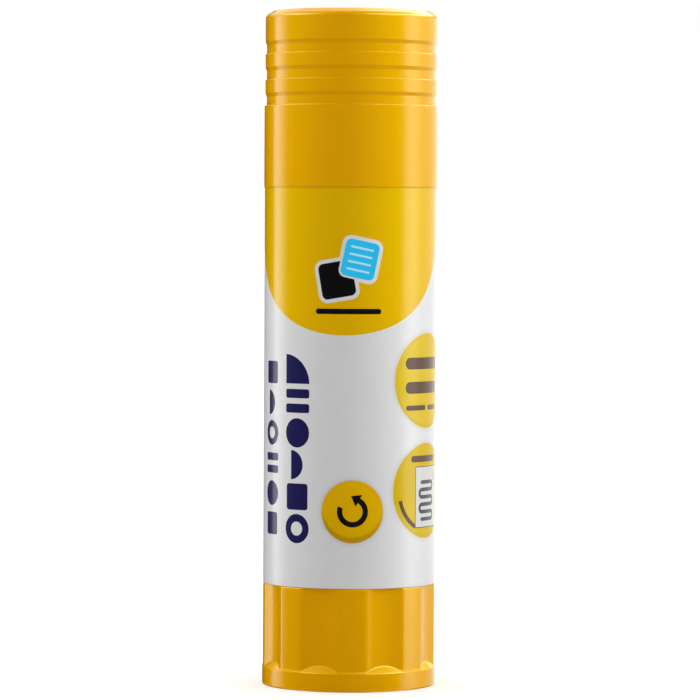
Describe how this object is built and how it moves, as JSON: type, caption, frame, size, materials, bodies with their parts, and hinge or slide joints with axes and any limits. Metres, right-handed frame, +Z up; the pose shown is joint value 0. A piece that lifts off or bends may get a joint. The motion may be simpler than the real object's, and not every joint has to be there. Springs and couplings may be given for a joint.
{
  "type": "glue stick",
  "caption": "Capped twist-up glue stick: wrapped round barrel, ringed pull-off cap and fluted knob that drives a screw to raise the glue.",
  "frame": {"origin": "centre of the base, on the surface that the knob stands on", "axes": "+Z up the stick's axis towards the cap, -Y towards the front of the label"},
  "size_m": [0.026, 0.026, 0.101],
  "materials": {
    "orange_plastic": "gloss",
    "natural_plastic": "satin",
    "label_film": "satin",
    "glue": "satin"
  },
  "bodies": {
    "barrel": {"barrel": "natural_plastic", "label": "label_film"},
    "knob": {"knob": "orange_plastic", "spindle": "natural_plastic"},
    "carrier": {"carrier_cup": "natural_plastic", "glue_stick": "glue"},
    "cap": {"cap": "orange_plastic"}
  },
  "joints": [
    {"name": "knob_turn", "type": "hinge", "parent": "barrel", "child": "knob", "pos_m": [0, 0, 0.01615], "axis": [0, 0, 1], "range_deg": [0, 3600]},
    {"name": "glue_lift", "type": "slide", "parent": "barrel", "child": "carrier", "axis": [0, 0, 1], "range_m": [0, 0.06]},
    {"name": "cap_pull", "type": "slide", "parent": "carrier", "child": "cap", "axis": [0, 0, 1], "range_m": [0, 0.03]}
  ],
  "couplings": [
    {"joint": "knob_turn", "follows": "glue_lift", "rad_per_m": 1047.2}
  ]
}
